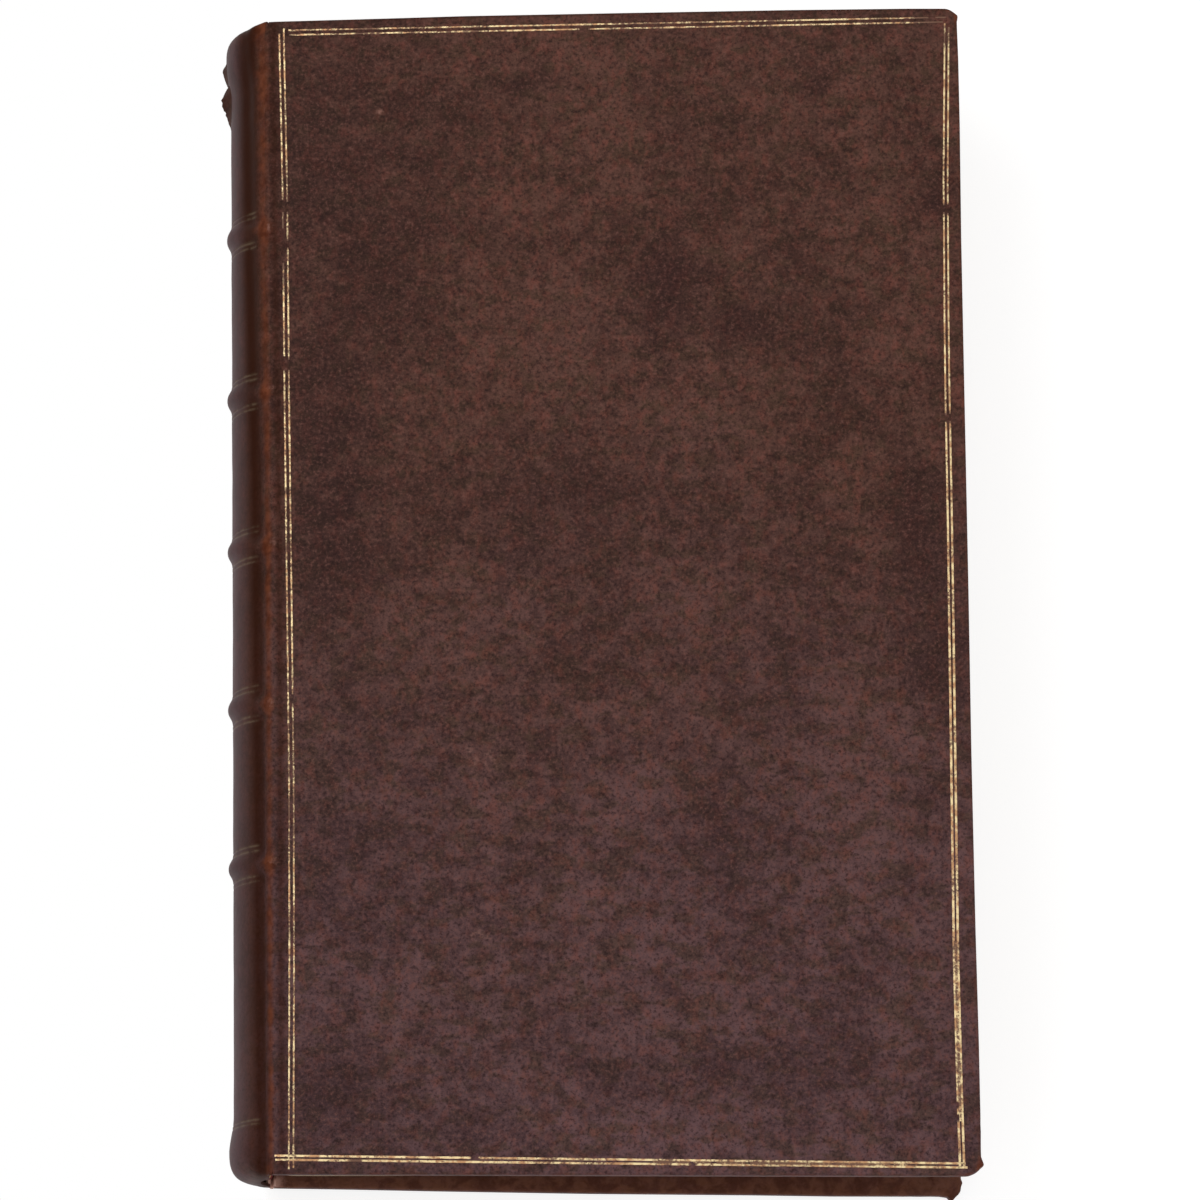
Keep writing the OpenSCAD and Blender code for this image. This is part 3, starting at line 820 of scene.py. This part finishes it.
# %% Spine leather
SPINE_TURN = 47.2
FACE_END = 94.2
CAP_MOUTH = 14.54
CAPS = {1: {"top": (100.82, 100.55), "deep": (4.37, 0.8), "full": 3.3, "reach": 25},
        -1: {"top": (100.34, 100.04), "deep": (5.47, 3.1), "full": 3.0, "reach": 29}}
BAND_X, BAND_R = 9.948, 17.448
RULES = sorted(b + s for b in BANDS for s in (-3.05, -2.2, 2.2, 3.05)) + [-90.65, -91.33]


def band_rise(turn):
    """How far a band's crest stands over the spine's round."""
    shift = SPINE_X - BAND_X
    crest = shift * np.cos(turn) + np.sqrt(BAND_R ** 2 - (shift * np.sin(turn)) ** 2)
    return crest - SPINE_R + 0.38 * ease(np.abs(np.degrees(turn)), 38, 46)


def band_shape(y, turn):
    drop = 1.2 * ease(np.abs(np.degrees(turn)), 10, 47)
    return sum(hill(y - b - 0.5 + drop, 1.42, 2.5) for b in BANDS)


def cap_swell(y):
    """How far the skin swells out towards the endbands under it."""
    return 0.86 * ease(y, 89, 95.5) + 0.8 * ease(-y, 89, 95.5)


def spine_radius(turn, y):
    angle = np.abs(np.degrees(turn))
    bands = band_shape(y, turn)
    sunk = np.degrees(np.arccos((SPINE_X - GROOVE(y)) / SPINE_R))
    joint = 0.38 * hill(angle - sunk, 5) * (1 - 0.8 * bands) * ease(angle, 47, 44)
    rules = sum(hill(y - r, 0.14) for r in RULES) * ease(angle, 41, 36)
    swell = cap_swell(y) * ease(angle, 47, 30)
    where = at(y, np.degrees(turn) / 3)
    uneven = (0.07 * ripple(where, 14, 9) + 0.03 * ripple(where, 3.5, 10)) * ease(angle, SPINE_TURN, 40)
    return SPINE_R + bands * band_rise(turn) - joint - 0.07 * rules + swell + uneven


def around(turn, radius, y):
    return at(SPINE_X - radius * np.cos(turn), y, SPINE_Z + radius * np.sin(turn))


def cap_path(turn, end):
    """Points from the spine's face over a cap to its mouth, as (radius, height)."""
    cap = CAPS[end]
    middle = ease(np.abs(np.degrees(turn)), 46, cap["reach"])
    top, deep = (low + (high - low) * middle for high, low in (cap["top"], cap["deep"]))
    base = spine_radius(turn, 0 * turn + end * 96.5)
    mouth = np.minimum(np.maximum(CAP_MOUTH, (SPINE_X + 0.6) / np.cos(turn)), base - 0.55)
    path = []
    for a in np.radians(np.linspace(0, 90, 16)):
        out, rise = (max(v, 0) ** (2 / cap["full"]) for v in (math.cos(a), math.sin(a)))
        crumple = 0.12 * ripple(at(turn * 17, a * 2), 2.5, 17 + end) * (1 - middle * 0.4) * rise
        path.append((mouth + (base - mouth) * out + crumple, top - deep * (1 - rise)))
    return path, top - deep


def make_spine_points():
    turns = np.radians(np.concatenate([np.linspace(-SPINE_TURN, -36, 25), np.linspace(-35, 35, 49),
                                       np.linspace(36, SPINE_TURN, 25)]))
    heights = set(np.round(np.linspace(-FACE_END, FACE_END, 240), 3))
    for b in BANDS:
        heights |= set(np.round(b + np.linspace(-4, 4, 25), 3))
    for r in RULES:
        heights |= {round(r + s, 3) for s in (-0.2, -0.1, 0, 0.1, 0.2)}
    heights = np.array(sorted(heights))
    rows = []
    for end in (-1, 1):
        path, start = cap_path(turns, end)
        ring = [(r, end * h) for r, h in path[::-1]]
        for share in (0.8, 0.6, 0.4, 0.2):
            h = end * (start * share + FACE_END * (1 - share))
            ring.append((spine_radius(turns, h), h))
        rows.append(ring if end < 0 else ring[::-1])
    face = [(spine_radius(turns, h + 0 * turns), h + 0 * turns) for h in heights]
    return np.array([around(turns, r, h) for r, h in rows[0] + face + rows[1]])


def spine_wear(points):
    """Painted values of the spine: polish, dirt and painted shade at the joints, rubbed bands, caps,
    rules, and a pale worn patch with a painted highlight at the tail.
    """
    x, y, z = np.moveaxis(points, -1, 0)
    turn = np.arctan2(z - SPINE_Z, SPINE_X - x)
    angle = np.abs(np.degrees(turn))
    rules = np.clip(sum(hill(y - r, 0.2) for r in RULES), 0, 1)
    caps = ease(np.abs(y), 96.5, 99.5)
    worn, dirt_and_shade, scuff_and_glare = joint_wear(x, y)
    worn = worn + 0.22 * band_shape(y, turn) + 0.3 * caps * ease(angle, 30, 42)
    # pale worn patch with a painted highlight where the tail cap meets the back joint
    worn_glare_patch = hill(y + 99.6, 1.7) * hill(np.degrees(turn) + 43, 8)
    return {"worn": np.clip(worn, 0, 1), "dirt_and_shade": dirt_and_shade, "scuff_and_glare": np.maximum(scuff_and_glare, 0.95 * worn_glare_patch),
            "polish": ease(x, -1.4, -3.2) * (1 - 0.3 * caps), "blind": rules * ease(angle, 41, 36)}


spine_points = make_spine_points()
make_piece("spine_calf", spine_points, quads(*spine_points.shape[:2]), CALF,
           "text_block", "spine_leather", 0.5, spine_wear(spine_points))

# %% [markdown]
# The skin is one piece over both joints. Here it is cut at each joint, and a narrow strip bridges
# the cut: one side lies on the spine and the other on the cover. The strip's two sides are worked
# out from the neighbours' own outlines, so that it joins them where the book lies closed.
#
# At head and tail the strip turns in over its end. "HEM" is that turn: how far it reaches past
# STRIP_END and how far it has come down. Midway between spine and cover it is narrower by HEM_WAIST.


# %% Joint leather
STRIP_END = 98.3
HEM = [(0.5, 0.03), (0.95, 0.12), (1.35, 0.3), (1.62, 0.6), (1.75, 1.0), (1.78, 1.6), (1.75, 2.3),
       (1.68, 2.9), (1.4, 3.3), (0.7, 3.46), (-0.4, 3.5)]
HEM_WAIST = [1, 1, 1, 0.97, 0.88, 0.78, 0.7, 0.64, 0.62, 0.64, 0.7, 0.78, 0.88, 0.96, 1, 1, 1]
HEM_REACH = [1, 1, 1, 1.04, 1.07, 1.08, 1.08, 1.08, 1.08, 1.08, 1.08, 1.08, 1.08, 1.06, 1, 1, 1]


def bend(piece, side, start, end):
    """Bakes the piece's place into its mesh; the places of start and end are worked out but not used.
    """
    places = (to_frame((x, 0, SPINE_Z * (1 + side))) for x in (start, end))
    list(places)
    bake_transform(piece)


def joint_strip(cover, name, side):
    """side is 1 at the front cover and -1 at the back cover."""
    middle = np.linspace(-STRIP_END, STRIP_END, 460)
    hem_out, hem_in = np.transpose(HEM)
    run = np.pad(middle, len(HEM), "edge")
    low, high = ((abs(float(cover[k](0))) - STRIP_END) / hem_out.max() for k in ("low", "high"))
    y = run + np.concatenate([-hem_out[::-1] * low, 0 * middle, hem_out * high])
    drop = np.concatenate([hem_in[::-1], 0 * middle, hem_in])
    columns = []
    for x, sunk in ((0.35, 0.1), (0.12, 0.02), (0.0, 0.0)):
        columns.append(cover["lay"](x, run, face_depth(cover, x + 0 * run, run) + sunk))
    for turn, sunk in ((SPINE_TURN, 0), (46.9, 0), (46.4, 0.1), (45.2, 0.3), (43.6, 0.42)):
        turn = math.radians(turn)
        columns.append(around(side * turn, spine_radius(turn + 0 * run, run) - sunk, run))
    first, last = columns[2], columns[3]
    columns[3:3] = [first * (1 - f) + last * f for f in np.arange(1, 10) / 10]
    points = np.stack(columns, 1)
    points[..., 1] = run[:, None] + (y - run)[:, None] * HEM_REACH
    points[..., 2] -= side * drop[:, None] * HEM_WAIST
    worn, dirt_and_shade, scuff_and_glare = joint_wear(points[..., 0], points[..., 1])
    inner = ease(drop, 1.5, 3)[:, None] + 0 * worn
    if side < 0:
        # pale worn patch with a painted highlight at the strip's tail end
        scuff_and_glare = np.maximum(scuff_and_glare, 0.95 * ease(-y, 97.6, 98.6)[:, None])
    painted = {"worn": worn * (1 - inner), "dirt_and_shade": dirt_and_shade * (1 - inner), "scuff_and_glare": scuff_and_glare,
               "inside": inner, "polish": HANDLED + 0 * worn}
    faces = quads(*points.shape[:2], flip=side > 0)
    piece = make_piece(name, points, faces, CALF, None, None, 0.35, painted)
    bend(piece, side, -0.6, 0)


joint_strip(FRONT, "front_joint_calf", 1)
joint_strip(BACK, "back_joint_calf", -1)

# %% [markdown]
# The leaves are one block that a binder cut with a plough. To read as leaves, the block is a stack of
# loops: every second loop is drawn in a little, so head, tail and fore-edge show fine furrows. The
# loops fan out over the shoulders at the spine and follow the hollow of the fore-edge. The lowest
# and the highest loop are closed with a page.

# %% Leaves
LEAF_ROWS = 181
LEAF_LOW, LEAF_HIGH = 3.9, 25.1
LEAF_HEAD, LEAF_TAIL, LEAF_SKEW = 97.0, -97.6, 0.95
LEAF_FORE = 116.3
HOLLOW_R, HOLLOW_X, HOLLOW_Z = 23.46, 135.26, 17.72
LEAF_SPINE_R = SPINE_R - 1.4
SHOULDER_X = -0.62
EDGE_POINTS = 64


def leaf_section(share):
    """The leaves in section, from the spine over the shoulder to the fore-edge, as x and z."""
    shoulder = math.acos((SPINE_X - SHOULDER_X) / LEAF_SPINE_R)
    turn = shoulder * (2 * share - 1)
    inside = np.array([0, 0.35, 0.7, 1])
    run = np.concatenate([[0.0, 0.004, 0.012], np.linspace(0.03, 1, 42)])
    left_x, left_z = SPINE_X - LEAF_SPINE_R * np.cos(turn), SPINE_Z + LEAF_SPINE_R * np.sin(turn)
    shoulder_z = SPINE_Z + (2 * share - 1) * LEAF_SPINE_R * math.sin(shoulder)
    high = LEAF_LOW + share * (LEAF_HIGH - LEAF_LOW)
    fore_z = LEAF_LOW + share * (LEAF_HIGH + LEAF_FORE * math.sin(FRONT_SLOPE) - LEAF_LOW)
    fore_x = HOLLOW_X - math.sqrt(HOLLOW_R ** 2 - (fore_z - HOLLOW_Z) ** 2)
    x = np.concatenate([left_x + inside * (SHOULDER_X - left_x), -0.4 + run * (fore_x + 0.4)])
    z = np.concatenate([left_z + inside * (shoulder_z - left_z), high + run * (fore_z - high)])
    return x, z


def leaf_loop(k, x, z):
    """The outline of one leaf: head, fore-edge, tail and back."""
    heights = np.linspace(0, 1, EDGE_POINTS)[1:-1]
    uneven = 0.05 * ripple(at(x, k * 5.0, z), 9, 11)
    pull = 0.11 * (k % 2) + 0.05 * ripple(at(k * 1.7), 1, 12)
    tail = LEAF_TAIL - 0.5 * ease(x, -0.5, 2) - LEAF_SKEW * np.clip(x, 0, None) / COVER_W
    top, low = at(x, LEAF_HEAD - pull - uneven, z), at(x, tail + pull + uneven, z)[::-1]
    fore_y = top[-1, 1] * (1 - heights) + low[0, 1] * heights
    wave = 0.06 * ripple(at(k * 5.0, fore_y), 24, 13)
    back_y = low[-1, 1] * (1 - heights) + top[0, 1] * heights
    return top, at(x[-1] - pull + wave, fore_y, z[-1]), low, at(x[0], back_y, z[0])


def make_leaves():
    loops = [leaf_loop(k, *leaf_section(c)) for k, c in enumerate(np.linspace(0, 1, LEAF_ROWS))]
    count = sum(map(len, loops[0]))
    points, stain = [np.concatenate(loop) for loop in loops], [np.zeros(LEAF_ROWS * count)]
    faces = quads(LEAF_ROWS, count, wrap=True, flip=True)
    share = np.linspace(0, 1, EDGE_POINTS)[:, None, None]
    for (top, fore, low, back), flip in ((loops[0], False), (loops[-1], True)):
        page = top * (1 - share) + low[::-1] * share
        page[1:-1, -1], page[1:-1, 0] = fore, back[::-1]
        x, y = page[..., 0], page[..., 1]
        edge = np.minimum(np.minimum(x + 2, LEAF_FORE - x), np.minimum(LEAF_HEAD - y, y - LEAF_TAIL))
        faces += quads(EDGE_POINTS, len(top), start=sum(map(len, points)), flip=flip)
        points.append(page.reshape(-1, 3))
        stain.append(np.ravel(ease(edge, 16, 5)))
    points = np.concatenate(points)
    number = np.arange(len(points))
    cut, row = number < LEAF_ROWS * count, number // count
    return points, faces, {"leaf": cut * row / LEAF_ROWS, "leaf_gap_shade": cut * (row % 2),
                           "stain": np.concatenate(stain), "cut": cut}


leaf_points, leaf_faces, leaf_paint = make_leaves()
make_piece("leaves", leaf_points, leaf_faces, LEAF_EDGES, "text_block", "text_block",
           painted=leaf_paint, weld=True)

# %% [markdown]
# Inside each cover the pastedown laps over the turn-ins. The paper shows the step where the leather
# ends under it and the laced-in cord slips as low lumps. Its other half was the first free leaf, and
# the fold between them runs down the board's edge and up the shoulder, as a strip. At head and tail,
# where the paper ends, the turned-in skin makes the same fold.


# %% Pastedowns and inner joints
PASTED_INSET = 9.0


def make_pastedown(cover, name, node):
    x = np.concatenate([np.linspace(0.3, 16, 26), np.linspace(17, COVER_W - PASTED_INSET, 80)])
    x, share = np.meshgrid(x, np.linspace(0, 1, 130))
    low, high = cover["low"](x) + PASTED_INSET, cover["high"](x) - PASTED_INSET
    y = low + share * (high - low)
    near = inset_of(cover, x, y)
    depth = 3.43 + 0.17 * ease(near, 13, 11.6) + 0.03 * ripple(at(x, y), 11, 15)
    for band in BANDS:
        depth = depth + 0.16 * hill(y - band, 1.9, 3) * ease(x, 6.4, 7.4) * ease(x, 15.2, 13.4)
    stain = 0.9 * ease(near, 15, 10) + 0.4 * ease(x, 6, 1)
    make_piece(name, cover["lay"](x, y, depth), quads(*x.shape, flip=cover is FRONT), PAPER,
               cover["body"], node, 0.16, {"stain": stain})


def inner_joint(name, side, ends, finish, thick, painted):
    """A fold of paper or of turned-in skin, up the shoulder and down the edge of the board."""
    path = [(-0.5, 3.95), (-0.5, 3.0), (-0.48, 2.2), (-0.42, 1.6), (-0.3, 1.3), (-0.14, 1.2),
            (0.0, 1.32), (0.08, 1.65), (0.11, 2.3), (0.12, 3.0), (0.14, 3.45), (0.4, 3.62)]
    y = np.linspace(*ends, int(ends[1] - ends[0]) // 2 + 2)
    points = np.array([at(x, y, SPINE_T - depth if side > 0 else depth) for x, depth in path])
    painted = {key: np.full(points.shape[:2], value) for key, value in painted.items()}
    faces = quads(*points.shape[:2], flip=side < 0)
    piece = make_piece(name, points, faces, finish, None, None, thick, painted)
    bend(piece, side, -0.42, 0.06)


make_pastedown(FRONT, "front_pasted_leaf", "front_pastedown")
make_pastedown(BACK, "back_pasted_leaf", "back_pastedown")
for cover, word, side in ((FRONT, "front", 1), (BACK, "back", -1)):
    inner_joint(word + "_paper_joint", side, (-88, 88), PAPER, 0.08,
                {"stain": 0.5})
    for place, ends in (("head", (87.9, 98.1)), ("tail", (-98.1, -87.9))):
        inner_joint(f"{word}_{place}_turn_in", side, ends, CALF, 0.2,
                    {"inside": 1.0, "worn": 0.15})

# %% [markdown]
# The endbands are cores oversewn with silk, two colours in turn. Each turn of thread is a small ring
# round the core that leans a little, and the rings follow the round of the spine.


# %% Endbands
ENDBAND_R, CORE_R, THREAD_R = 0.75, 0.52, 0.2
CORE_SIDES, THREAD_SIDES = 14, 6
WRAPS, WRAPS_OF_A_COLOUR = 62, 3


def make_endband(name, end, leaf_end, node):
    ring_r, height = SPINE_R - 4.8 + ENDBAND_R, leaf_end + end * ENDBAND_R
    limit = math.acos((SPINE_X + 0.75) / ring_r)
    a = np.linspace(0, 2 * math.pi, CORE_SIDES, endpoint=False)[:, None]
    b = np.linspace(0, 2 * math.pi, THREAD_SIDES, endpoint=False)[None]
    out = CORE_R + THREAD_R * np.cos(b)
    lean = 0.012 * np.sin(a) + THREAD_R * 1.05 * np.sin(b) / ring_r
    ring = np.array(quads(CORE_SIDES + 1, THREAD_SIDES, wrap=True)) % (CORE_SIDES * THREAD_SIDES)
    for number, (word, finish) in enumerate((("red", RED_SILK), ("cream", CREAM_SILK))):
        wraps = [i for i in range(WRAPS) if i // WRAPS_OF_A_COLOUR % 2 == number]
        turn = limit * (2 * np.array(wraps) + 1) / WRAPS - limit
        points = around(turn[:, None, None] + lean, ring_r + out * np.cos(a), height + out * np.sin(a))
        faces = ring + CORE_SIDES * THREAD_SIDES * np.arange(len(wraps))[:, None, None]
        make_piece(f"{name}_{word}", points, faces.reshape(-1, 4).tolist(), finish,
                   "text_block", None if number else node)


make_endband("head_sewing", 1, LEAF_HEAD, "head_endband")
make_endband("tail_sewing", -1, LEAF_TAIL, "tail_endband")

# %% [markdown]
# Near the head, two flaps of the spine's skin are torn and stand away from it. Each is a curled
# tongue with a ragged rim: its root stays on the spine and its tip lifts out.


# %% Torn flaps
# from y, to y and how far the tongue stands out along it
FLAPS = [(96.3, 92.5, through([0, 0.07, 0.3, 0.65, 1], [0.1, 0.65, 0.6, 0.4, 0.1])),
         (92.1, 83.6, through([0, 0.15, 0.35, 0.55, 0.8, 0.95], [0.6, 1.7, 1.4, 0.85, 0.2, 0]))]


def make_flaps():
    along, out = np.linspace(0, 1, 30)[:, None], np.linspace(0, 1, 8)[None]
    points, faces = [], []
    for number, (top, bottom, reach_of) in enumerate(FLAPS):
        y = top + (bottom - top) * along
        reach = reach_of(along) * (1 + 0.25 * ripple(at(y, number), 0.7, number))
        uneven = 0.08 * out * ripple(at(y, out * 3, 5), 1.3, number)
        radius = SPINE_R + cap_swell(y) - 0.1 + (reach + 0.1) * out ** 1.4 + uneven
        faces += quads(*radius.shape, start=number * radius.size)
        points.append(around(np.radians(8 - 12 * out), radius, y - 0.4 * out * reach))
    blank = np.zeros(len(FLAPS) * radius.size)
    painted = {"worn": blank + 0.2, "dirt_and_shade": blank + 0.6, "scuff_and_glare": blank, "polish": blank + 0.1}
    make_piece("torn_flaps", points, faces, CALF, "text_block", None, 0.4, painted)


make_flaps()

# %% [markdown]
# The stage is a plain pale floor under soft light. For the camera, and in reflections, the world is
# white. The floor mixes that white with its own lit colour, so that it keeps the book's shadow. It
# fades out left of the spine, where a cover swings lower than the floor when it is opened.

# %% Stage and light
def white_rays(finish):
    """1 for rays that show the surroundings: from the camera, in a reflection or through glass."""
    kinds = ("Camera", "Glossy", "Transmission")
    camera_ray, glossy, through_glass = (
        finish.node("LightPath", {}, {}, f"Is {kind} Ray") for kind in kinds)
    return (camera_ray + glossy + through_glass).limit()


room = Finish("pale_room", bpy.data.worlds)
level = white_rays(room) * 0.38 + 0.62
sky = room.node("Background", {}, {"Color": (1, 1, 1, 1), "Strength": level})
room.node("OutputWorld", {}, {"Surface": sky})
bpy.context.scene.world = room.material


def make_lamp(name, place, size, power):
    light = bpy.data.lights.new(name, "AREA")
    light.shape, light.size, light.energy = "DISK", size, power
    lamp = put(name, light)
    lamp.location = place
    lamp.rotation_euler = Vector(place).to_track_quat("Z", "Y").to_euler()


make_lamp("window_lamp", (-0.75, 0.55, 1.3), 0.9, 5.4)
make_lamp("fill_lamp", (0.9, -0.4, 1.1), 1.0, 2.0)


FLOOR_HALF, FLOOR_Z = 3.0, -0.0003


def make_floor():
    pale = Finish("pale_floor")
    white = pale.node("Emission", {}, {"Color": (1, 1, 1, 1), "Strength": 1.36})
    lit = pale.node("BsdfDiffuse", {}, {"Color": (0.9, 0.9, 0.9, 1)})
    seen = pale.node("MixShader", {}, {0: white_rays(pale) * 0.55, 1: lit, 2: white})
    clear = pale.node("BsdfTransparent", {}, {})
    shown = pale.node("MixShader", {}, {0: pale.x.step(-2, -0.8), 1: clear, 2: seen})
    pale.node("OutputMaterial", {}, {"Surface": shown})
    mesh = bpy.data.meshes.new("floor")
    corners = [(x * FLOOR_HALF, y * FLOOR_HALF, FLOOR_Z)
               for x, y in ((-1, -1), (1, -1), (1, 1), (-1, 1))]
    mesh.from_pydata(corners, [], [(0, 1, 2, 3)])
    mesh.materials.append(pale.material)
    put("floor", mesh)


make_floor()
bpy.context.scene.view_settings.view_transform = "Standard"
